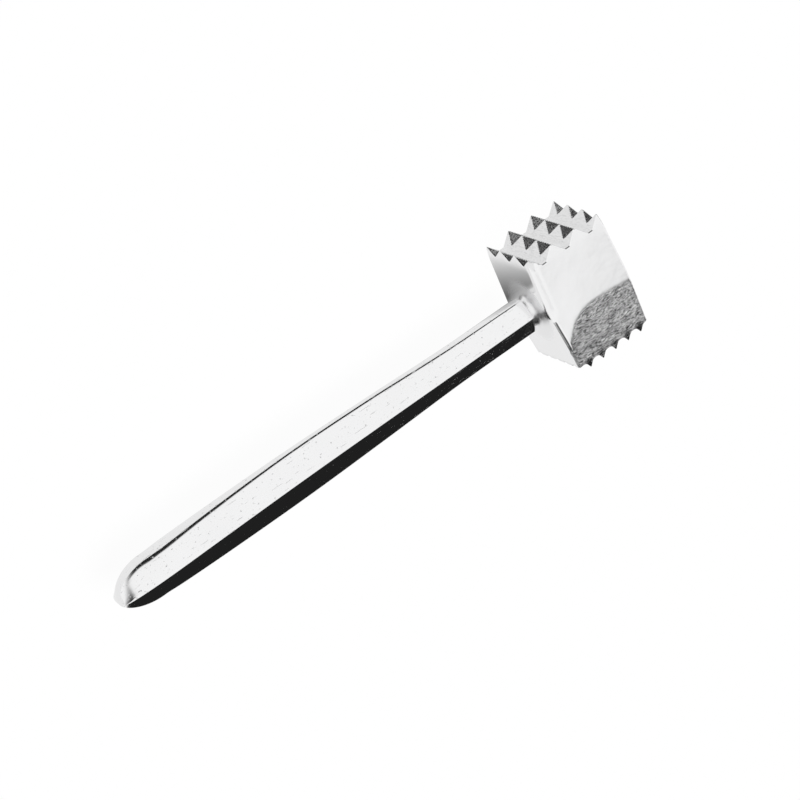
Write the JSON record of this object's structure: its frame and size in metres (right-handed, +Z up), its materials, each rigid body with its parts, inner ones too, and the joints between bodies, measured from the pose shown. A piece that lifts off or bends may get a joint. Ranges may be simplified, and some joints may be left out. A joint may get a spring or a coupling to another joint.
{
  "type": "meat mallet",
  "caption": "Cast aluminium meat mallet: a block head with a coarse and a fine toothed face, screwed to a faceted handle by a hidden stud.",
  "frame": {"origin": "middle of the mallet's box in X and Y, on the plane that it lies on", "axes": "+X along the handle towards the head, +Y towards the coarse toothed face, +Z up, square to the side face that the head lies on"},
  "size_m": [0.2525, 0.057, 0.0378],
  "materials": {
    "head_aluminium": "cast, polished, with brushing marks on the side faces",
    "handle_aluminium": "cast and belt polished",
    "stud_steel": "zinc plated"
  },
  "bodies": {
    "root": {"head": "head_aluminium", "handle": "handle_aluminium", "threaded_stud": "stud_steel"}
  },
  "joints": []
}
